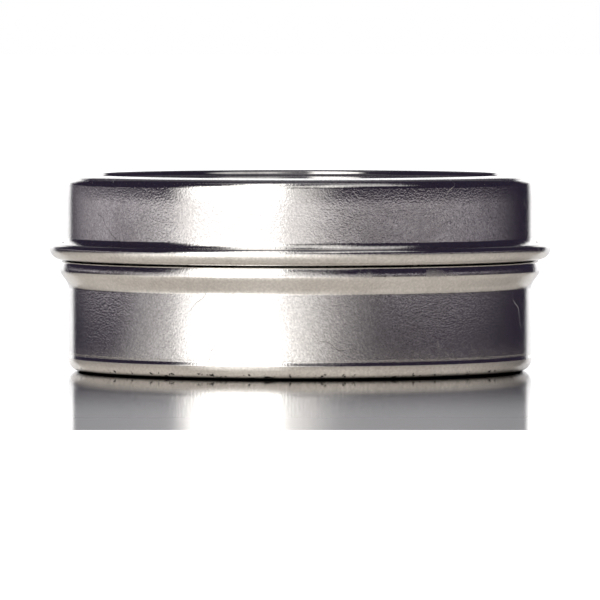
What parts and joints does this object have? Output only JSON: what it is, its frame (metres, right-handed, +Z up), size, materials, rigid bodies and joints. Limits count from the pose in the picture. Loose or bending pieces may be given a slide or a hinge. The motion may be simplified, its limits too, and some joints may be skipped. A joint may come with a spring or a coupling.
{
  "type": "round slip-lid tin",
  "caption": "Shallow round seamless metal tin with a drawn base cup and a lift-off slip lid with a rolled edge.",
  "frame": {"origin": "centre of the ring that the base stands on, on the table plane", "axes": "+Z up along the tin's axis of symmetry, towards the lid"},
  "size_m": [0.0662, 0.0662, 0.0259],
  "materials": {
    "base_tinplate": "bare satin tinplate with fine scuffs",
    "lid_tinplate": "bare satin tinplate with fine scuffs"
  },
  "bodies": {
    "base": {"base_shell": "base_tinplate"},
    "lid": {"lid_shell": "lid_tinplate"}
  },
  "joints": [
    {"name": "lid_lift", "type": "slide", "parent": "base", "child": "lid", "axis": [0, 0, 1], "range_m": [0, 0.03]}
  ]
}
